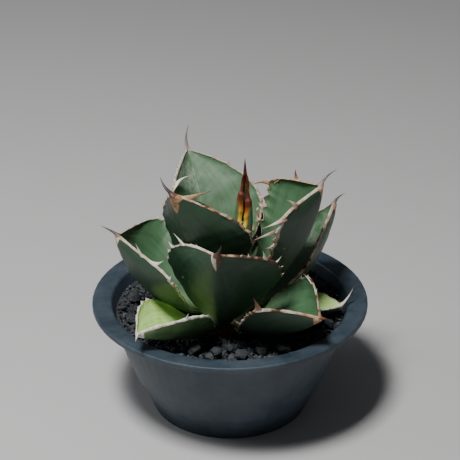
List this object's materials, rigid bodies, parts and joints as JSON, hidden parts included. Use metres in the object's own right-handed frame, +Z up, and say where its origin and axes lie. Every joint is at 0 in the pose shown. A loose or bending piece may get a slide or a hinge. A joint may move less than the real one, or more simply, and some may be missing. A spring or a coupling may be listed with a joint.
{
  "type": "potted agave",
  "caption": "Small toothed agave with broad cupped leaves and end spines, growing in dark grit in a shallow round pot with a wide flat rim.",
  "frame": {"origin": "middle of the pot's underside, on the surface that the pot stands on", "axes": "+Z up along the pot's turning axis; -Y is the front, where the broad keeled leaf faces; +X is to the right seen from the front"},
  "size_m": [0.16, 0.16, 0.161],
  "materials": {
    "pot": "matte slate grey, dusty and lightly scuffed",
    "potting_mix": "rough black mineral grit",
    "gravel": "rough porous lava and charcoal",
    "stem": "dry fibrous bark",
    "leaf": "waxy grey-green skin with a corky toothed margin",
    "old_leaf": "waxy yellow-green skin with a pale corky margin",
    "bud": "young leaf, yellow and orange at the margins"
  },
  "bodies": {
    "root": {"pot": "pot", "potting_mix": "potting_mix", "stem": "stem", "leaf_front_left_low": "old_leaf", "leaf_front_right_low": "leaf", "leaf_right_low": "old_leaf", "leaf_back_low": "leaf", "leaf_back_left_low": "leaf", "leaf_left": "leaf", "leaf_front": "leaf", "leaf_right_back": "leaf", "leaf_back": "leaf", "leaf_right": "leaf", "leaf_front_left": "leaf", "leaf_back_left": "leaf", "bud_leaf_back": "bud", "bud_leaf_left": "bud", "bud_leaf_right": "bud", "stone_01": "gravel", "stone_02": "gravel", "stone_03": "gravel", "stone_04": "gravel", "stone_05": "gravel", "stone_06": "gravel", "stone_07": "gravel", "stone_08": "gravel", "stone_09": "gravel", "stone_10": "gravel", "stone_11": "gravel", "stone_12": "gravel", "stone_13": "gravel", "stone_14": "gravel", "stone_15": "gravel", "stone_16": "gravel", "stone_17": "gravel", "stone_18": "gravel"}
  },
  "joints": []
}
